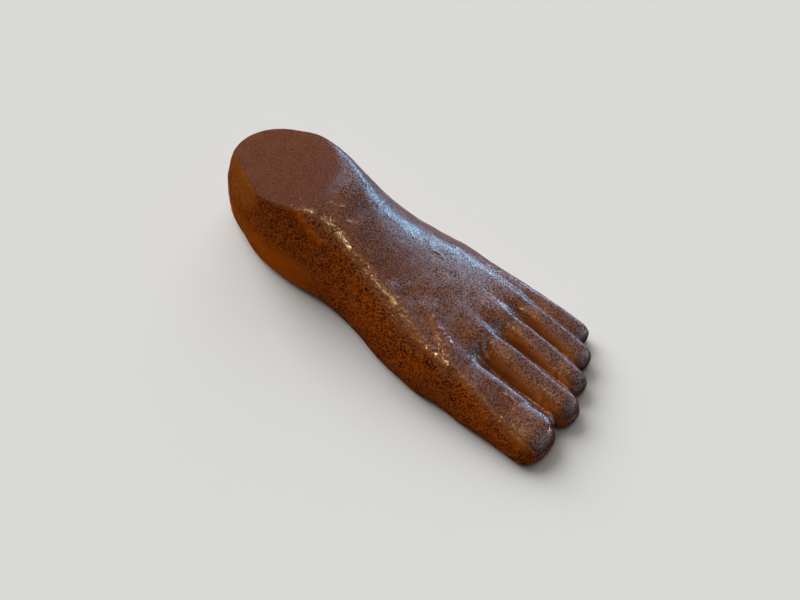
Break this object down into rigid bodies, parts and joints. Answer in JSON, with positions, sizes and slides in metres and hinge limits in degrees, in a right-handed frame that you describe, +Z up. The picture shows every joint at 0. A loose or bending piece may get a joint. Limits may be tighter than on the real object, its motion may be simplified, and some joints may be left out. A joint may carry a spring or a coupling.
{
  "type": "foot sculpture",
  "caption": "Life-size sculpture of a left foot in brown salt-glazed stoneware, cut off flat at the ankle, with modelled toes and nails. It stands on its flat sole.",
  "frame": {"origin": "middle of the footprint box, on the floor under the sole", "axes": "+X from the heel to the toes, +Y to the outer side, +Z up; the big toe is on the -Y side"},
  "size_m": [0.2474, 0.0894, 0.062],
  "materials": {
    "salt_glaze": "semi-gloss reddish-brown salt glaze with orange-peel texture and dark-brown speckle"
  },
  "bodies": {
    "root": {"foot": "salt_glaze"}
  },
  "joints": []
}
